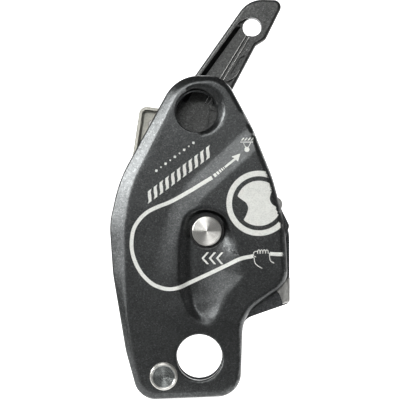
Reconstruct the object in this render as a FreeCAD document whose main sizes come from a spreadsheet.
"""Rope descender: a parametric FreeCAD document of its separate pieces, in millimetres.

The frame: +Z up the device, +X to its right seen from the front, +Y from the front to the back.
The origin is the centre of the attachment eye, midway between the two side plates.
"""
import FreeCAD, Part
import math
import os
import Sketcher
from FreeCAD import Placement, Rotation, Vector

os.makedirs("parts", exist_ok=True)
doc = FreeCAD.newDocument("descender")

# ---------------------------------------------------------------- driving dimensions
SIZES = {
    # side plates
    "gap_half": (7.0, "half the rope channel between the side plates"),
    "front_step": (1.8, "full outline behind the front plate's bevel"),
    "front_face": (4.5, "front plate, inner face to plateau"),
    "front_crest": (6.3, "front plate, inner face to raised panel"),
    "recess_floor": (3.2, "front plate, inner face to thumb recess floor"),
    "rear_thick": (4.0, "rear plate thickness"),
    "edge_round": (1.0, "rear plate outer edge rounding"),
    # attachment eye and upper eye
    "eye_radius": (11.5, "attachment eye"),
    "eye_chamfer": (1.0, "attachment eye edge break"),
    "upper_x": (-1.5, "upper eye centre"),
    "upper_z": (123.25, "upper eye centre"),
    "upper_radius": (10.5, "upper eye"),
    # hinge rivet
    "hinge_x": (-17.9, "side plate hinge axis"),
    "hinge_z": (-9.4, "side plate hinge axis"),
    "hinge_radius": (4.0, "rivet shank"),
    "hinge_head": (6.9, "rivet head radius"),
    "running": (0.06, "radial clearance of a running fit"),
    "face_gap": (0.1, "axial clearance between sliding faces"),
    # main axle
    "axle_x": (3.65, "main axle"),
    "axle_z": (63.2, "main axle"),
    "axle_radius": (6.0, "axle shank and handle journal"),
    "axle_seat": (7.0, "axle shoulder pressed in the rear plate"),
    "axle_collar": (9.0, "axle collar that keeps the cam on"),
    # latch
    "button_radius": (7.4, "button head"),
    "button_flange": (7.9, "button retaining flange"),
    "button_proud": (3.2, "button face above the recess floor"),
    "button_travel": (1.7, "press of the button"),
    "pin_radius": (3.9, "lock pin and button boss"),
    # cam
    "cam_front": (6.3, "cam front face, ahead of the mid-plane"),
    "cam_back": (5.3, "cam rear face, behind the mid-plane"),
    "cam_seat": (25.5, "rope seat radius at the rims"),
    "cam_nose": (31.0, "brake nose radius"),
    # handle
    "hub_front": (12.1, "handle hub front face"),
    "hub_back": (24.0, "handle hub rear face"),
    "lever_front": (12.4, "open side of the lever channel"),
    "lever_back": (23.5, "lever back"),
    "dog_ring": (13.0, "radius of the release pin's path"),
    "dog_radius": (2.2, "release pin"),
}

sheet = doc.addObject("Spreadsheet::Sheet", "sizes")
for row, (alias, (value, meaning)) in enumerate(SIZES.items(), start=1):
    sheet.set(f"A{row}", alias)
    sheet.set(f"B{row}", str(value))
    sheet.set(f"C{row}", meaning)
    sheet.setAlias(f"B{row}", alias)
doc.recompute()

S = {alias: float(sheet.get(alias)) for alias in SIZES}
HINGE = (S["hinge_x"], S["hinge_z"])
AXLE = (S["axle_x"], S["axle_z"])
UPPER = (S["upper_x"], S["upper_z"])
HINGE_TO_AXLE = math.hypot(AXLE[0] - HINGE[0], AXLE[1] - HINGE[1])
AXLE_BEARING = math.degrees(math.atan2(AXLE[1] - HINGE[1], AXLE[0] - HINGE[0]))

# ---------------------------------------------------------------- sizes local to one or two pieces
AXLE_FRONT = -6.6
AXLE_END = 22.6
COLLAR_BACK = -4.5
BUSH_RADIUS = 7.6
SPRING_WELL = 9.6
PIN_TOP = -6.75
PIN_FLANGE = 4.6
PIN_GROOVE = 1.0
PIN_GROOVE_SIDE = 0.6
PIN_GROOVE_TURNS = (6.6, 48.0)
COLLAR_RADIUS = 8.7
COLLAR_DEEP = 3.3
COLLAR_WALL = 0.45
FLANGE_THICK = 0.55
HINGE_FACE = -13.9
DOWEL = (39.0, 70.6)
DOWEL_RADIUS = 2.0
DOWEL_STANDS = 1.0
DOWEL_SLOT_TURN = 12.0
SLOT_SIDE = 0.25
LIP_MOUTH = (0.6, 124.0, 12.2)
LIP_DEEP = 2.6
SCREW_RADIUS = 2.0
SCREW_HEAD = 3.6
SCREW_SINK = 2.2
GUIDE_SCREWS = [(38.6, 76.6), (40.4, 63.8)]
BLOCK_SCREWS = [(28.6, 25.0), (37.6, 30.2)]
LINER_THICK = 1.2
LINER_DEEP = 6.0
LINER_BEND = 1.4
RIVET_RADIUS = 1.5
LINER_RIVETS = [(-23.4, 117.0), (-32.3, 70.0), (-27.0, 32.0)]
ANVIL_THICK = 3.4
ANVIL_ROUND = 0.7
GUIDE_ROUND = 0.8
STOP_RING = 17.6
STOP_RADIUS = 1.6
STOP_REST = -78.0
STOP_SEAT = 2.5
CAM_TRAVEL = 25.0
HANDLE_TRAVEL = 130.0
DOG_REST = 20.0
DOG_SIDE = 0.3
DOG_LEAD = 4.0
DOG_PATH_DEEP = 3.4
CAM_WINDOW_BAND = (18.9, 2.3)
CAM_WINDOWS = [(132.0, 232.0), (40.0, 96.0)]
CAM_SEAT_BEARINGS = (8.0, 145.0, 282.0)
CAM_NOSE_BEARINGS = (-30.0, -25.0, -20.0)
CAM_COLLAR_POCKET = 1.9
SPRING_WELL_DEEP = 5.0
ROPE_GROOVE_RADIUS = 10.0
ROPE_GROOVE_OUT = 8.2
BOSS_RADIUS = 19.0
BOSS_PROUD = 0.6
HUB_RADIUS = 21.0
HUB_POCKET = 1.8
HUB_POCKET_RADIUS = 11.2
LEVER_HOLE = (26.9, 167.0)
LEVER_HOLE_RADIUS = 4.75
LEVER_BACK_ROUND = 3.0
LEVER_FRONT_ROUND = 1.5
HUB_CHAMFER = 0.4
CHANNEL_DEEP = 5.6
LEVER_POCKET_DEEP = 2.2
RIB_GROOVE_DEEP = 0.9
DOG_SEAT = 7.0

# ---------------------------------------------------------------- outlines, as (x, z, corner radius)
FRONT_OUTLINE = [
    (-11.5, 141.0, 19.0),
    (12.4, 141.2, 14.0),
    (26.5, 115.3, 60.0),
    (36.6, 90.0, 60.0),
    (42.9, 66.0, 50.0),
    (44.4, 36.8, 12.0),
    (21.9, 21.3, 18.0),
    (20.5, -19.4, 12.0),
    (-30.2, -21.4, 11.0),
    (-37.0, 3.3, 50.0),
    (-43.4, 41.6, 60.0),
    (-45.1, 66.7, 38.0),
    (-40.3, 88.6, 70.0),
]
# bevel width at each corner of FRONT_OUTLINE, at the crest's level
FRONT_BEVEL = [6.6, 1.8, 1.5, 1.5, 1.5, 1.5, 1.5, 1.8, 3.6, 5.3, 11.0, 13.6, 11.6]
LOW_FOOT = [
    (52.0, 140.0),
    (23.6, 114.0),
    (-8.8, 84.0),
    (-17.8, 66.0),
    (-21.6, 38.0),
    (-12.0, 16.0),
    (22.4, 15.0),
    (60.0, 12.0),
    (60.0, -40.0),
    (-60.0, -40.0),
    (-60.0, 160.0),
    (52.0, 160.0),
]
LOW_CREST = [
    (56.0, 131.0),
    (27.5, 104.6),
    (-1.6, 78.0),
    (-9.8, 62.0),
    (-11.4, 40.0),
    (-3.0, 23.0),
    (20.0, 22.4),
    (60.0, 19.0),
    (60.0, -40.0),
    (-60.0, -40.0),
    (-60.0, 160.0),
    (56.0, 160.0),
]
RECESS_RIM = [
    (-7.0, 70.8, 8.0),
    (3.2, 74.6, 12.0),
    (13.2, 69.8, 4.0),
    (17.9, 58.8, 16.0),
    (21.2, 42.0, 2.4),
    (13.4, 31.0, 16.0),
    (5.6, 14.0, 1.6),
    (-4.6, 21.8, 9.0),
    (-9.9, 36.0, 16.0),
    (-10.2, 57.0, 16.0),
]
RECESS_FLOOR = [
    (-4.8, 68.2, 6.0),
    (3.4, 72.6, 9.0),
    (12.3, 69.2, 4.0),
    (12.6, 59.0, 3.0),
    (8.0, 48.0, 9.0),
    (0.6, 37.0, 14.0),
    (2.2, 19.4, 0.8),
    (-2.8, 25.0, 4.0),
    (-4.6, 37.0, 12.0),
    (-4.7, 56.0, 12.0),
]
REAR_OUTLINE = [
    (-11.3, 140.6, 18.6),
    (12.2, 140.8, 13.6),
    (26.1, 115.2, 40.0),
    (36.2, 90.0, 40.0),
    (45.6, 62.0, 20.0),
    (45.6, 26.4, 2.4),
    (21.6, 18.0, 8.0),
    (20.1, -19.0, 11.6),
    (-29.9, -21.0, 10.6),
    (-36.6, 3.3, 50.0),
    (-43.0, 41.6, 60.0),
    (-44.7, 66.7, 38.0),
    (-39.9, 88.6, 70.0),
]
LINER_OUTLINE = [
    (-30.0, 126.4, 4.0),
    (-15.4, 124.3, 2.5),
    (-16.4, 106.0, 8.0),
    (-6.5, 92.5, 6.0),
    (-9.5, 84.0, 1.5),
    (-19.4, 74.0, 8.0),
    (-22.0, 58.0, 12.0),
    (-14.0, 44.5, 6.0),
    (-4.0, 39.0, 2.0),
    (-7.0, 27.0, 4.0),
    (-33.0, 24.5, 6.0),
    (-40.2, 58.0, 40.0),
]
LINER_HOLLOW = [
    (-28.7, 124.7, 2.6),
    (0.0, 120.9, 1.0),
    (14.0, 30.0, 1.0),
    (-31.8, 26.0, 4.5),
    (-38.7, 58.1, 38.5),
]
GUIDE_OUTLINE = [
    (35.4, 82.6, 1.0),
    (38.8, 80.6, 1.5),
    (41.4, 73.6, 6.0),
    (45.2, 65.8, 2.2),
    (43.2, 59.6, 2.0),
    (36.4, 58.6, 1.5),
    (35.7, 72.0, 2.0),
]
ANVIL_FACE = [(16.8, 26.6), (45.2, 44.9), (45.2, 27.4)]
BLOCK_OUTLINE = [
    (21.6, 25.2, 1.0),
    (38.8, 36.2, 3.0),
    (41.2, 33.0, 1.5),
    (41.6, 26.4, 1.2),
    (33.6, 23.2, 1.0),
    (25.6, 20.8, 1.0),
]
LEVER_OUTLINE = [
    (-17.0, 62.0, 14.0),
    (-15.6, 123.2, 30.0),
    (25.2, 181.3, 14.0),
    (43.6, 180.7, 3.6),
    (33.7, 160.7, 3.0),
    (28.7, 157.6, 2.5),
    (11.0, 124.2, 24.0),
    (23.6, 74.0, 10.0),
]
LEVER_CHANNEL = [
    (-13.9, 90.0, 3.0),
    (-13.25, 123.7, 22.0),
    (19.9, 169.3, 1.2),
    (24.4, 172.0, 1.2),
    (27.4, 169.0, 0.8),
    (24.4, 161.2, 0.8),
    (4.1, 130.0, 20.0),
    (-1.2, 116.0, 12.0),
    (1.6, 90.0, 2.0),
]
LEVER_POCKETS = [
    [(20.6, 151.4, 0.6), (24.2, 153.5, 0.6), (19.2, 144.2, 0.8), (14.6, 141.4, 0.6)],
    [(13.2, 138.9, 0.6), (18.0, 141.6, 0.6), (9.6, 125.8, 3.0), (5.9, 126.6, 0.8)],
    [(5.2, 125.2, 0.6), (9.0, 123.8, 2.0), (11.8, 110.6, 0.8), (3.4, 110.6, 1.0)],
    [(3.4, 109.2, 0.8), (12.2, 109.2, 0.8), (15.6, 93.0, 1.2), (5.2, 93.0, 1.0)],
]
RIB_GROOVE = [(24.9, 160.6, 0.1), (25.6, 160.6, 0.1), (3.6, 126.8, 0.1), (2.9, 126.8, 0.1)]


# ---------------------------------------------------------------- plane geometry helpers
def rounded(corners):
    """Lines and tangent arcs of a closed outline of (x, z, corner radius)."""
    pieces, stations = [], []
    count = len(corners)
    for i, (x, z, radius) in enumerate(corners):
        here = Vector(x, z, 0)
        back = Vector(*corners[i - 1][:2], 0) - here
        ahead = Vector(*corners[(i + 1) % count][:2], 0) - here
        back.normalize()
        ahead.normalize()
        half = back.getAngle(ahead) / 2
        reach = radius / math.tan(half)
        middle = back + ahead
        middle.normalize()
        centre = here + middle * (radius / math.sin(half))
        stations.append((here + back * reach, centre - middle * radius, here + ahead * reach))
    for i, (start, top, end) in enumerate(stations):
        pieces.append(Part.Arc(start, top, end))
        pieces.append(Part.LineSegment(end, stations[(i + 1) % count][0]))
    return pieces


def straight(corners):
    """Lines of a closed outline, its corners left sharp."""
    points = [Vector(corner[0], corner[1], 0) for corner in corners]
    return [Part.LineSegment(points[i - 1], points[i]) for i in range(len(points))]


def inset(corners, widths):
    """The outline with each corner moved in by its own width; convex corner radii shrink to suit."""
    moved = []
    for i, (x, z, radius) in enumerate(corners):
        here = Vector(x, z, 0)
        back = Vector(*corners[i - 1][:2], 0) - here
        ahead = Vector(*corners[(i + 1) % len(corners)][:2], 0) - here
        back.normalize()
        ahead.normalize()
        middle = back + ahead
        middle.normalize()
        convex = back.x * ahead.y - back.y * ahead.x > 0
        side = 1 if convex else -1
        spot = here + middle * (side * widths[i] / math.sin(back.getAngle(ahead) / 2))
        moved.append((spot.x, spot.y, radius - side * widths[i]))
    return moved


def spot(radius, bearing, centre=AXLE):
    """A point at the radius and bearing about a centre, the axle if none is given."""
    across = math.radians(bearing)
    return centre[0] + radius * math.cos(across), centre[1] + radius * math.sin(across)


def sector(centre, radius, half_width, bearing_from, bearing_to):
    """A curved slot of constant width about centre, its ends cut square."""
    middle = (bearing_from + bearing_to) / 2
    inner, outer = [
        [Vector(*spot(ring, bearing, centre), 0) for bearing in (bearing_from, middle, bearing_to)]
        for ring in (radius - half_width, radius + half_width)
    ]
    return [
        Part.Arc(*inner),
        Part.LineSegment(inner[2], outer[2]),
        Part.Arc(*reversed(outer)),
        Part.LineSegment(outer[0], inner[0]),
    ]


def stadium(centre, radius, half_width, bearing_from, bearing_to):
    """A curved slot of constant width about centre, its ends round."""
    sides = sector(centre, radius, half_width, bearing_from, bearing_to)
    caps = []
    for bearing, outward in ((bearing_to, 1), (bearing_from, -1)):
        across = math.radians(bearing)
        seat = Vector(*spot(radius, bearing, centre), 0)
        out = Vector(math.cos(across), math.sin(across), 0) * half_width
        way = Vector(-math.sin(across), math.cos(across), 0) * half_width
        if bearing_to < bearing_from:
            way = way * -1
        first, last = (seat - out, seat + out) if outward == 1 else (seat + out, seat - out)
        caps.append(Part.Arc(first, seat + way * outward, last))
    return [sides[0], caps[0], sides[2], caps[1]]


# ---------------------------------------------------------------- PartDesign helpers
def cell(name):
    return "sizes." + name


def new_body(label):
    body = doc.addObject("PartDesign::Body", label)
    body.Label = label
    return body


def sketch(body, geometry, level, holes=()):
    """A sketch square to Y at the level (an expression in the sheet's cells), seen from the front."""
    made = body.newObject("Sketcher::SketchObject", body.Label + "_sketch")
    plane = [f for f in body.Origin.OriginFeatures if f.Role == "XZ_Plane"][0]
    made.AttachmentSupport = [(plane, "")]
    made.MapMode = "FlatFace"
    made.setExpression("AttachmentOffset.Base.z", f"-({level})")
    for piece in geometry:
        made.addConstraint(Sketcher.Constraint("Block", made.addGeometry(piece, False)))
    for x, z, radius in holes:
        ring(made, x, z, radius)
    return made


def ring(made, x, z, radius):
    """A circle in the sketch, its centre and radius each a number or the name of a cell."""
    centre = Vector(S.get(x, x), S.get(z, z), 0)
    at = made.addGeometry(Part.Circle(centre, Vector(0, 0, 1), S.get(radius, radius)), False)
    rules = [
        (Sketcher.Constraint("DistanceX", -1, 1, at, 3, centre.x), x),
        (Sketcher.Constraint("DistanceY", -1, 1, at, 3, centre.y), z),
        (Sketcher.Constraint("Radius", at, S.get(radius, radius)), radius),
    ]
    for rule, source in rules:
        number = made.addConstraint(rule)
        if isinstance(source, str):
            made.setExpression(f"Constraints[{number}]", cell(source))


def pad(body, geometry, level, depth, holes=()):
    """Material from the level, back by the depth."""
    feature = body.newObject("PartDesign::Pad", body.Label + "_pad")
    feature.Profile = sketch(body, geometry, level, holes)
    feature.Reversed = True
    feature.setExpression("Length", depth)
    doc.recompute()
    return feature


def pocket(body, geometry, level, depth, holes=()):
    """A cut from the level, back by the depth; it has to take something away."""
    before = body.Shape.Volume
    feature = body.newObject("PartDesign::Pocket", body.Label + "_pocket")
    feature.Profile = sketch(body, geometry, level, holes)
    feature.setExpression("Length", depth)
    doc.recompute()
    if not body.Shape.Volume < before - 1e-6:
        raise RuntimeError(f"a pocket of {body.Label} cuts nothing")
    return feature


def loft(body, kind, first, first_level, last, last_level):
    """A ruled solid between two outlines, added or taken away."""
    feature = body.newObject("PartDesign::" + kind, body.Label + "_loft")
    feature.Profile = sketch(body, first, first_level)
    feature.Sections = [sketch(body, last, last_level)]
    feature.Ruled = True
    doc.recompute()
    if "Invalid" in feature.State or not body.Shape.isValid():
        raise RuntimeError(f"{feature.Label} fails")
    return feature


def dress(body, kind, size, wanted):
    """A fillet or chamfer of the size on the edges of the body that the test wants."""
    tip = body.Tip
    names = [f"Edge{i}" for i, edge in enumerate(tip.Shape.Edges, start=1) if wanted(edge)]
    feature = body.newObject("PartDesign::" + kind, body.Label + "_" + kind.lower())
    feature.Base = (tip, names)
    feature.setExpression("Radius" if kind == "Fillet" else "Size", str(size))
    doc.recompute()
    if not names or "Invalid" in feature.State:
        raise RuntimeError(f"{feature.Label} of {size} fails on {len(names)} edges")
    return feature


def at_level(y, slack=0.01):
    """A test for edges that lie flat at one depth."""
    return lambda edge: abs(edge.BoundBox.YMin - y) < slack and abs(edge.BoundBox.YMax - y) < slack


def round_at(x, z, radius, y=None):
    """A test for round edges about a centre, and at a depth if one is given."""

    def test(edge):
        if edge.Degenerated or len(edge.Vertexes) != 1:
            return False
        curve = edge.Curve
        if not isinstance(curve, Part.Circle) or abs(curve.Radius - radius) > 0.01:
            return False
        if math.hypot(curve.Center.x - x, curve.Center.z - z) > 0.01:
            return False
        return y is None or abs(curve.Center.y - y) < 0.01

    return test


# ---------------------------------------------------------------- Part helpers for turned pieces
ALONG_Y = Rotation(Vector(1, 0, 0), -90)


def bind(obj, prop, source):
    obj.setExpression(prop, cell(source) if source in S else str(source))


def cylinder(centre, radius, start, end, taper_to=None):
    """A cylinder along Y, or a cone if taper_to names its end radius; sizes are expressions."""
    cone = taper_to is not None
    made = doc.addObject("Part::Cone" if cone else "Part::Cylinder", "turned")
    bind(made, "Radius1" if cone else "Radius", radius)
    if cone:
        bind(made, "Radius2", taper_to)
    made.setExpression("Height", f"({end}) - ({start})")
    made.Placement = Placement(Vector(centre[0], 0, centre[1]), ALONG_Y)
    made.setExpression("Placement.Base.y", str(start))
    return made


def fuse(pieces):
    if len(pieces) == 1:
        return pieces[0]
    made = doc.addObject("Part::MultiFuse", "joined")
    made.Shapes = pieces
    made.Refine = True
    return made


def cut(base, tools, label):
    """Takes the tools from the base and names what is left."""
    if tools:
        made = doc.addObject("Part::Cut", label)
        made.Base, made.Tool = base, fuse(tools)
    else:
        made = base
    made.Label = label
    return made


def hexagon(centre, across, start, end):
    """A hexagonal prism along Y, for a socket."""
    made = doc.addObject("Part::Prism", "socket")
    made.Polygon = 6
    made.Circumradius = across / math.sqrt(3)
    made.Height = end - start
    made.Placement = Placement(Vector(centre[0], start, centre[1]), ALONG_Y)
    return made


def coil(label, centre, start, length, mean_radius, wire, turns):
    """A coil spring along Y: one round wire swept along a helix."""
    helix = doc.addObject("Part::Helix", label + "_helix")
    helix.Pitch, helix.Height, helix.Radius = (length - wire) / turns, length - wire, mean_radius
    helix.Placement = Placement(Vector(centre[0], start + wire / 2, centre[1]), ALONG_Y)
    section = doc.addObject("Part::Circle", label + "_wire")
    section.Radius = wire / 2
    section.Placement = Placement(
        Vector(centre[0] + mean_radius, start + wire / 2, centre[1]), Rotation(0, 0, 0)
    )
    made = doc.addObject("Part::Sweep", label)
    made.Sections, made.Spine = [section], (helix, [])
    made.Solid, made.Frenet = True, True
    made.Label = label
    return made


def group(label, solids):
    """Several separate solids under one name."""
    made = doc.addObject("Part::Compound", label)
    made.Links = solids
    made.Label = label
    return made


# ---------------------------------------------------------------- the pieces
def front_side_plate():
    """The swinging plate: bevelled left flank, raised right panel, thumb recess, eyes and grooves."""
    body = new_body("front_side_plate")
    inner, outer = "-sizes.gap_half", "-sizes.gap_half - sizes.front_face"
    step = "-sizes.gap_half - sizes.front_step"
    crest = "-sizes.gap_half - sizes.front_crest"
    pad(body, rounded(FRONT_OUTLINE), step, cell("front_step"))
    face = inset(FRONT_OUTLINE, FRONT_BEVEL)
    loft(body, "AdditiveLoft", rounded(FRONT_OUTLINE), step, rounded(face), crest)
    loft(body, "SubtractiveLoft", straight(LOW_FOOT), outer, straight(LOW_CREST), crest + " - 0.01")
    floor = "-sizes.gap_half - sizes.recess_floor"
    loft(body, "SubtractiveLoft", straight(RECESS_RIM), crest, straight(RECESS_FLOOR), floor)
    through = "sizes.front_crest"
    pocket(body, [], crest, through, [(0.0, 0.0, "eye_radius"), ("upper_x", "upper_z", "upper_radius")])
    hinge_bore = S["hinge_radius"] + S["running"]
    pocket(body, [], crest, through, [("hinge_x", "hinge_z", hinge_bore)])
    pocket(body, [], crest, through, [("axle_x", "axle_z", COLLAR_RADIUS)])
    first, last = [AXLE_BEARING - turned for turned in PIN_GROOVE_TURNS]
    path = sector(HINGE, HINGE_TO_AXLE, S["pin_radius"] + PIN_GROOVE_SIDE, first, last)
    pocket(body, path, f"{inner} - {PIN_GROOVE}", str(PIN_GROOVE))
    out = math.hypot(DOWEL[0] - HINGE[0], DOWEL[1] - HINGE[1])
    bearing = math.degrees(math.atan2(DOWEL[1] - HINGE[1], DOWEL[0] - HINGE[0]))
    slot = stadium(HINGE, out, DOWEL_RADIUS + SLOT_SIDE, bearing, bearing - DOWEL_SLOT_TURN)
    deep = DOWEL_STANDS + S["face_gap"]
    pocket(body, slot, f"{inner} - {deep}", str(deep))
    narrow = ("upper_x", "upper_z", S["upper_radius"] - 0.5)
    lip = body.newObject("PartDesign::SubtractiveLoft", "upper_eye_lip")
    lip.Profile = sketch(body, [], outer + " - 0.05", [LIP_MOUTH])
    lip.Sections = [sketch(body, [], f"{outer} + {LIP_DEEP}", [narrow])]
    doc.recompute()
    front = -S["gap_half"] - S["front_face"]
    dress(body, "Chamfer", "sizes.eye_chamfer", round_at(0, 0, S["eye_radius"], front))
    return body


def rear_side_plate():
    """The fixed plate, with the axle seat, its boss and the release pin's window."""
    body = new_body("rear_side_plate")
    pad(body, rounded(REAR_OUTLINE), cell("gap_half"), cell("rear_thick"))
    back = S["gap_half"] + S["rear_thick"]
    dress(body, "Fillet", "sizes.edge_round", at_level(back))
    pad(body, [], cell("gap_half"), f"sizes.rear_thick + {BOSS_PROUD}", [("axle_x", "axle_z", BOSS_RADIUS)])
    deep = "sizes.rear_thick + 1"
    pocket(body, [], cell("gap_half"), deep, [(0.0, 0.0, "eye_radius"), ("upper_x", "upper_z", "upper_radius")])
    pocket(body, [], cell("gap_half"), deep, [("axle_x", "axle_z", "axle_seat")])
    pocket(body, [], cell("gap_half"), deep, [("hinge_x", "hinge_z", "hinge_radius")])
    window = stadium(AXLE, S["dog_ring"], S["dog_radius"] + DOG_SIDE, DOG_REST, DOG_REST + HANDLE_TRAVEL)
    pocket(body, window, cell("gap_half"), deep)
    pocket(body, [], cell("gap_half"), str(STOP_SEAT), [(*spot(STOP_RING, STOP_REST), STOP_RADIUS)])
    for x, z in GUIDE_SCREWS + BLOCK_SCREWS:
        pocket(body, [], cell("gap_half"), deep, [(x, z, SCREW_RADIUS + 0.1)])
    for x, z in LINER_RIVETS:
        pocket(body, [], cell("gap_half"), deep, [(x, z, RIVET_RADIUS)])
    stop = f"sizes.gap_half + sizes.rear_thick - {SCREW_SINK}"
    for x, z in GUIDE_SCREWS + BLOCK_SCREWS:
        pocket(body, [], stop, "3", [(x, z, SCREW_HEAD + 0.15)])
    dress(body, "Chamfer", "sizes.eye_chamfer", round_at(0, 0, S["eye_radius"], back))
    dress(body, "Chamfer", "0.8", round_at(*UPPER, S["upper_radius"], back))
    dress(body, "Chamfer", "0.6", round_at(0, 0, S["eye_radius"], S["gap_half"]))
    return body


def rim_foot(edge):
    """Whether the edge is where the liner's rim meets its sheet: flat there, on the hollow's outline."""
    if not at_level(S["gap_half"] - LINER_THICK)(edge):
        return False
    middle = edge.valueAt((edge.FirstParameter + edge.LastParameter) / 2)
    corner = Part.Vertex(middle.x, middle.z, 0)
    return any(piece.toShape().distToShape(corner)[0] < 0.01 for piece in rounded(LINER_HOLLOW))


def wear_liner():
    """The pressed steel liner that the rope runs against, with a turned-up rim on its left and top."""
    body = new_body("wear_liner")
    level = f"sizes.gap_half - {LINER_DEEP}"
    pad(body, rounded(LINER_OUTLINE), level, str(LINER_DEEP))
    pocket(body, rounded(LINER_HOLLOW), level, str(LINER_DEEP - LINER_THICK))
    dress(body, "Fillet", str(LINER_BEND), rim_foot)
    for x, z in LINER_RIVETS:
        pocket(body, [], level, str(LINER_DEEP), [(x, z, RIVET_RADIUS)])
    return body


def cam_pulley():
    """The pivoting cam: a grooved rope seat round its left, and the brake nose at its lower right."""
    body = new_body("cam_blank")
    seat, nose = S["cam_seat"], S["cam_nose"]
    seat_start, seat_top, seat_end = [Vector(*spot(seat, bearing), 0) for bearing in CAM_SEAT_BEARINGS]
    nose_start, nose_tip, nose_end = [Vector(*spot(nose, bearing), 0) for bearing in CAM_NOSE_BEARINGS]
    outline = [
        Part.Arc(seat_start, seat_top, seat_end),
        Part.LineSegment(seat_end, nose_start),
        Part.Arc(nose_start, nose_tip, nose_end),
        Part.LineSegment(nose_end, seat_start),
    ]
    front, depth = "-sizes.cam_front", "sizes.cam_front + sizes.cam_back"
    pad(body, outline, front, depth)
    pocket(body, [], front, depth, [("axle_x", "axle_z", BUSH_RADIUS)])
    pocket(body, [], front, str(CAM_COLLAR_POCKET), [("axle_x", "axle_z", S["axle_collar"] + 0.4)])
    well = f"sizes.cam_back - {SPRING_WELL_DEEP}"
    pocket(body, [], well, str(SPRING_WELL_DEEP), [("axle_x", "axle_z", SPRING_WELL)])
    swept = (DOG_REST - DOG_LEAD, DOG_REST + HANDLE_TRAVEL + CAM_TRAVEL + DOG_LEAD)
    path = stadium(AXLE, S["dog_ring"], S["dog_radius"] + DOG_SIDE + 0.2, *swept)
    pocket(body, path, f"sizes.cam_back - {DOG_PATH_DEEP}", str(DOG_PATH_DEEP))
    for bearings in CAM_WINDOWS:
        pocket(body, stadium(AXLE, *CAM_WINDOW_BAND, *bearings), front, depth)
    slot = stadium(AXLE, STOP_RING, STOP_RADIUS + SLOT_SIDE, STOP_REST, STOP_REST + CAM_TRAVEL)
    pocket(body, slot, front, depth)
    doc.recompute()
    groove = doc.addObject("Part::Torus", "rope_groove")
    groove.Radius1, groove.Radius2 = seat + ROPE_GROOVE_OUT, ROPE_GROOVE_RADIUS
    middle = (S["cam_back"] - S["cam_front"]) / 2
    groove.Placement = Placement(Vector(AXLE[0], middle, AXLE[1]), ALONG_Y)
    shadow = doc.addObject("Part::Box", "nose_keep")
    shadow.Length, shadow.Width, shadow.Height = 40, 30, 44
    shadow.Placement = Placement(Vector(AXLE[0] + 6.2, -15, AXLE[1] - 32), Rotation())
    tool = cut(groove, [shadow], "rope_groove_left")
    return cut(body, [tool], "cam_pulley")


def axle_pieces():
    """The main axle with its bush and spacer, and the lock pin in its front end."""
    rear = S["gap_half"] + S["rear_thick"]
    axle = [
        cylinder(AXLE, "axle_collar", AXLE_FRONT, COLLAR_BACK),
        cylinder(AXLE, "axle_radius", AXLE_FRONT, AXLE_END),
        cylinder(AXLE, "axle_seat", S["gap_half"], rear + BOSS_PROUD),
    ]
    bores = [
        cylinder(AXLE, S["pin_radius"] + 0.1, AXLE_FRONT - 1, -3.0),
        cylinder(AXLE, PIN_FLANGE + 0.1, AXLE_FRONT + 1.5, 4.0),
        cylinder(AXLE, 2.6, 14.0, AXLE_END + 1),
    ]
    pin = [
        cylinder(AXLE, "pin_radius", PIN_TOP, -3.0),
        cylinder(AXLE, PIN_FLANGE, -3.2, -2.2),
    ]
    clear = S["axle_radius"] + 0.05
    return [
        cut(fuse(axle), bores, "main_axle"),
        ring_washer("cam_bush", BUSH_RADIUS, clear, COLLAR_BACK + 0.15, S["cam_back"] - SPRING_WELL_DEEP - 0.05),
        ring_washer("cam_spacer", 10.1, clear, S["cam_back"] + 0.05, S["gap_half"] - 0.05),
        cut(fuse(pin), [cylinder(AXLE, 2.2, -5.2, -2.0)], "lock_pin"),
        coil("lock_pin_spring", AXLE, -2.15, 5.7, 3.35, 0.7, 5),
    ]


def latch_pieces():
    """The button, its collar in the swinging plate and its spring."""
    inner = -S["gap_half"]
    front = inner - COLLAR_DEEP
    face = inner - S["recess_floor"] - S["button_proud"]
    flange = front + COLLAR_WALL + 0.05
    head = [
        cylinder(AXLE, S["button_radius"] - 0.5, face, face + 0.5, S["button_radius"]),
        cylinder(AXLE, "button_radius", face + 0.5, flange),
        cylinder(AXLE, "button_flange", flange, flange + FLANGE_THICK),
        cylinder(AXLE, "pin_radius", flange, inner - S["button_travel"]),
    ]
    under = cut(
        cylinder(AXLE, 6.8, face + 1.2, flange + 2),
        [cylinder(AXLE, "pin_radius", face, flange + 2)],
        "button_hollow",
    )
    bores = [
        cylinder(AXLE, S["button_radius"] + 0.1, front - 1, inner - 0.5),
        cylinder(AXLE, S["button_flange"] + 0.1, front + COLLAR_WALL, inner - 0.5),
        cylinder(AXLE, S["pin_radius"] + 0.25, front, inner + 1),
    ]
    spring = inner - 0.55 - (face + 1.25)
    return [
        cut(fuse(head), [under], "latch_button"),
        cut(cylinder(AXLE, COLLAR_RADIUS, front, inner), bores, "latch_collar"),
        coil("button_spring", AXLE, face + 1.25, spring, 5.4, 0.7, 4),
    ]


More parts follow.
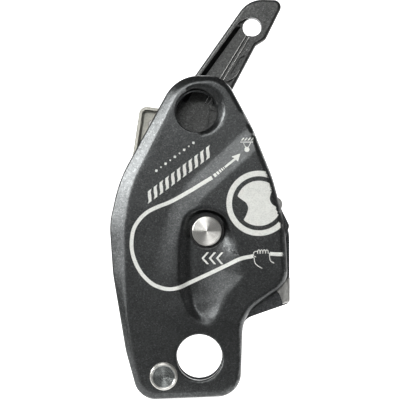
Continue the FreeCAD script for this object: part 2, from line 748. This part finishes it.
def hinge_pieces():
    """The rivet that the front plate turns on, with its spacer and washer."""
    inner = S["gap_half"]
    rear = inner + S["rear_thick"]
    shank = [
        cylinder(HINGE, S["hinge_head"] - 0.5, HINGE_FACE, HINGE_FACE + 0.5, S["hinge_head"]),
        cylinder(HINGE, "hinge_head", HINGE_FACE + 0.5, HINGE_FACE + 1.9),
        cylinder(HINGE, "hinge_radius", HINGE_FACE + 1, rear + 1.6),
        cylinder(HINGE, 6.2, rear, rear + 1.2),
        cylinder(HINGE, 6.2, rear + 1.2, rear + 2.0, 4.6),
    ]
    clear = S["hinge_radius"] + 0.02
    plate = -inner - S["front_face"] - S["face_gap"]
    spacer = cylinder(HINGE, 7.0, -inner + S["face_gap"], inner)
    washer = cylinder(HINGE, 7.0, HINGE_FACE + 1.95, plate)
    return [
        cut(fuse(shank), [], "hinge_rivet"),
        cut(spacer, [cylinder(HINGE, clear, -40, 40)], "hinge_spacer"),
        cut(washer, [cylinder(HINGE, clear, -40, 40)], "hinge_washer"),
    ]


def pins():
    """The cam's stop pin and the dowel that centres the closed front plate."""
    stop = spot(STOP_RING, STOP_REST)
    inner = S["gap_half"]
    return [
        cut(cylinder(stop, STOP_RADIUS, -4.0, inner + STOP_SEAT), [], "cam_stop_pin"),
        cut(cylinder(DOWEL, DOWEL_RADIUS, -inner - DOWEL_STANDS, -1.0), [], "closing_dowel"),
    ]


def screws(label, places, length):
    """Countersunk socket screws put in from behind, as one group of separate solids."""
    back = S["gap_half"] + S["rear_thick"] - 0.1
    seat = back - SCREW_SINK + 0.15
    solids = []
    for x, z in places:
        stem = [
            cylinder((x, z), SCREW_RADIUS, back - length, back),
            cylinder((x, z), SCREW_HEAD, seat, back),
        ]
        solids.append(cut(fuse(stem), [hexagon((x, z), 2.5, back - 1.3, back + 1)], label + "_one"))
    return group(label, solids)


def rivets(label, places):
    """Flush rivets through the liner and the rear plate."""
    back = S["gap_half"] + S["rear_thick"]
    front = S["gap_half"] - LINER_THICK
    solids = []
    for x, z in places:
        stem = [
            cylinder((x, z), RIVET_RADIUS, front, back),
            cylinder((x, z), RIVET_RADIUS + 0.9, front - 0.5, front, RIVET_RADIUS + 1.2),
        ]
        solids.append(fuse(stem))
    return group(label, solids)


def rope_guide():
    """The fixed guide above the brake-hand exit, with its flared lip."""
    body = new_body("upper_rope_guide")
    front = "-sizes.gap_half + sizes.face_gap + 0.2"
    pad(body, rounded(GUIDE_OUTLINE), front, "2 * sizes.gap_half - sizes.face_gap - 0.2")
    dress(body, "Fillet", str(GUIDE_ROUND), at_level(-S["gap_half"] + S["face_gap"] + 0.2))
    for x, z in GUIDE_SCREWS:
        pocket(body, [], "sizes.gap_half - 9", "9", [(x, z, SCREW_RADIUS + 0.05)])
    pocket(body, [], front, "6", [(*DOWEL, DOWEL_RADIUS)])
    return body


def anvil():
    """The bent steel brake anvil: the sloping rope face and the down-turned lip."""
    body = new_body("brake_anvil")
    (x0, z0), (x1, z1), (_, foot) = ANVIL_FACE
    along = Vector(x1 - x0, z1 - z0, 0)
    along.normalize()
    start = Vector(x0, z0, 0) + Vector(along.y, -along.x, 0) * ANVIL_THICK
    inside = x1 - ANVIL_THICK
    bend = start.y + (inside - start.x) * along.y / along.x
    outline = [
        (x0, z0, 0.8),
        (x1, z1, 5.5),
        (x1, foot, 0.8),
        (inside, foot, 0.8),
        (inside, bend, 2.1),
        (start.x, start.y, 0.8),
    ]
    pad(body, rounded(outline), "-sizes.gap_half + 0.4", "2 * sizes.gap_half - 0.4")
    dress(body, "Fillet", str(ANVIL_ROUND), at_level(-S["gap_half"] + 0.4))
    return body


def anvil_block():
    """The block that backs the anvil and spaces the plates."""
    body = new_body("anvil_block")
    front = "-sizes.gap_half + 0.4"
    pad(body, rounded(BLOCK_OUTLINE), front, "2 * sizes.gap_half - 0.4")
    for x, z in BLOCK_SCREWS:
        pocket(body, [], "sizes.gap_half - 9", "9", [(x, z, SCREW_RADIUS + 0.05)])
    return body


def handle_lever():
    """The lever: a hub round the axle journal and a ribbed channel, open towards the plates."""
    body = new_body("handle_lever")
    front = cell("lever_front")
    pad(body, rounded(LEVER_OUTLINE), front, "sizes.lever_back - sizes.lever_front")
    dress(body, "Fillet", str(LEVER_BACK_ROUND), at_level(S["lever_back"]))
    dress(body, "Fillet", str(LEVER_FRONT_ROUND), at_level(S["lever_front"]))
    pad(body, [], cell("hub_front"), "sizes.hub_back - sizes.hub_front", [("axle_x", "axle_z", HUB_RADIUS)])
    dress(body, "Chamfer", str(HUB_CHAMFER), round_at(*AXLE, HUB_RADIUS, S["hub_back"]))
    pocket(body, rounded(LEVER_CHANNEL), front, str(CHANNEL_DEEP))
    for outline in LEVER_POCKETS:
        pocket(body, rounded(outline), front, str(LEVER_POCKET_DEEP))
    pocket(body, rounded(RIB_GROOVE), front, str(RIB_GROOVE_DEEP))
    through = "sizes.hub_back - sizes.hub_front + 1"
    pocket(body, [], cell("hub_front"), through, [("axle_x", "axle_z", S["axle_radius"] + S["running"])])
    pocket(body, [], front, through, [(*LEVER_HOLE, LEVER_HOLE_RADIUS)])
    dog = (*spot(S["dog_ring"], DOG_REST), "dog_radius")
    pocket(body, [], cell("hub_front"), str(DOG_SEAT), [dog])
    sink = f"sizes.hub_back - {HUB_POCKET}"
    pocket(body, [], sink, str(HUB_POCKET), [("axle_x", "axle_z", HUB_POCKET_RADIUS)])
    return body


def handle_pieces():
    """What is on the handle's hub: release pin, washers and screw."""
    made = []
    hub = S["hub_front"]
    dog = spot(S["dog_ring"], DOG_REST)
    made.append(cut(cylinder(dog, "dog_radius", S["cam_back"] - 2.6, hub + 7), [], "release_pin"))
    boss = S["gap_half"] + S["rear_thick"] + BOSS_PROUD
    clear = S["axle_radius"] + 0.1
    made.append(ring_washer("thrust_washer", 10.2, clear, boss + 0.05, hub - 0.05))
    floor = S["hub_back"] - HUB_POCKET
    made.append(ring_washer("friction_washer", 10.8, clear, floor + 0.05, floor + 0.6))
    made.append(ring_washer("hub_washer", 11.0, 3.2, floor + 0.7, S["hub_back"] + 0.3))
    head = S["hub_back"] + 0.3
    bolt = [
        cylinder(AXLE, 2.55, 15.0, head),
        cylinder(AXLE, 5.4, head, head + 1.6),
        cylinder(AXLE, 5.4, head + 1.6, head + 3.0, 3.8),
    ]
    made.append(cut(fuse(bolt), [hexagon(AXLE, 4.0, head + 1.0, head + 5)], "handle_screw"))
    return made


def ring_washer(label, radius, bore, start, end):
    """A plain washer on the axle."""
    return cut(cylinder(AXLE, radius, start, end), [cylinder(AXLE, bore, start - 1, end + 1)], label)


def cam_spring():
    """The torsion spring that opens the cam."""
    start = S["cam_back"] - 4.7
    return coil("cam_spring", AXLE, start, 4.4, 8.4, 1.1, 3)


# ---------------------------------------------------------------- build, check and write
def main():
    plate = front_side_plate()
    pieces = [
        plate,
        rear_side_plate(),
        wear_liner(),
        cam_pulley(),
        rope_guide(),
        anvil(),
        anvil_block(),
        handle_lever(),
        cam_spring(),
        screws("guide_screws", GUIDE_SCREWS, 10.0),
        screws("block_screws", BLOCK_SCREWS, 10.0),
        rivets("liner_rivets", LINER_RIVETS),
    ]
    pieces += axle_pieces() + latch_pieces() + hinge_pieces() + pins() + handle_pieces()
    doc.recompute()
    for obj in doc.Objects:
        if {"Invalid", "Error"} & set(obj.State):
            raise RuntimeError(f"{obj.Label} failed: {obj.State}")
    for piece in pieces:
        shape = piece.Shape
        name = piece.Label
        if shape.isNull() or not shape.isValid() or not shape.Solids:
            raise RuntimeError(f"{name} has no valid solid")
        print(f"{name:20s} solids {len(shape.Solids)} volume {shape.Volume:10.1f} mm3")
        shape.exportStep(f"parts/{name}.step")


main()
